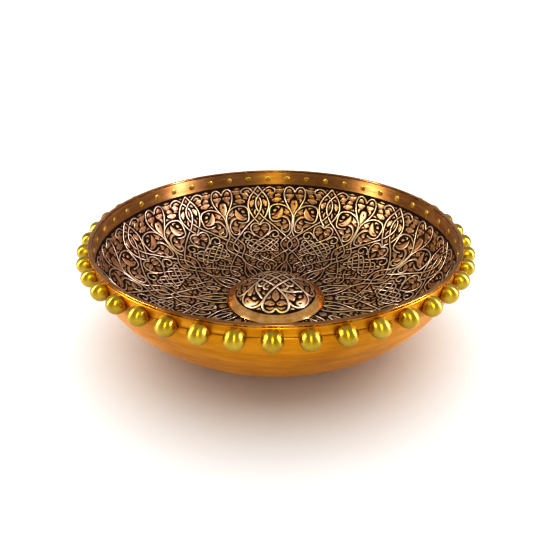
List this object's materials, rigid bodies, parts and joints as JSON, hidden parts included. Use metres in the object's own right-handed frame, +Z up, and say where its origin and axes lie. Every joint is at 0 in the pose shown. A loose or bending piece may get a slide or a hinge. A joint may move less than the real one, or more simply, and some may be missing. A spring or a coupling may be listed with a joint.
{
  "type": "round vessel basin",
  "caption": "Round double-walled metal basin with an engraved inside, ball studs round the rim and a domed lifting drain cap.",
  "frame": {"origin": "middle of the flat base the basin stands on", "axes": "+Z up through the open rim; -Y is the side with a stud nearest the middle"},
  "size_m": [0.426, 0.426, 0.12],
  "materials": {
    "engraved_copper": "aged copper, engraved, dark in the sunk ground",
    "outer_copper": "brushed copper with fine level lines",
    "rim_copper": "polished copper",
    "cap_copper": "engraved copper dome with a polished brim",
    "stud_brass": "polished yellow brass",
    "rivet_brass": "worn brass",
    "drain_brass": "turned brass",
    "rubber": "matt black rubber"
  },
  "bodies": {
    "basin": {"inner_bowl": "engraved_copper", "outer_shell": "outer_copper", "rim_ring": "rim_copper", "ball_studs": "stud_brass", "stud_rivets": "rivet_brass", "drain_collar": "drain_brass", "collar_gasket": "rubber", "lower_washer": "rubber", "lock_nut": "drain_brass", "guide_cross": "drain_brass", "stem_o_ring": "rubber"},
    "cap": {"cap_cover": "cap_copper", "backing_plate": "drain_brass", "plug_seal": "rubber", "seal_retainer": "drain_brass", "cap_stem": "drain_brass", "stem_nut": "drain_brass", "stem_stop": "drain_brass"}
  },
  "joints": [
    {"name": "cap_lift", "type": "slide", "parent": "basin", "child": "cap", "axis": [0, 0, 1], "range_m": [0, 0.01]}
  ]
}
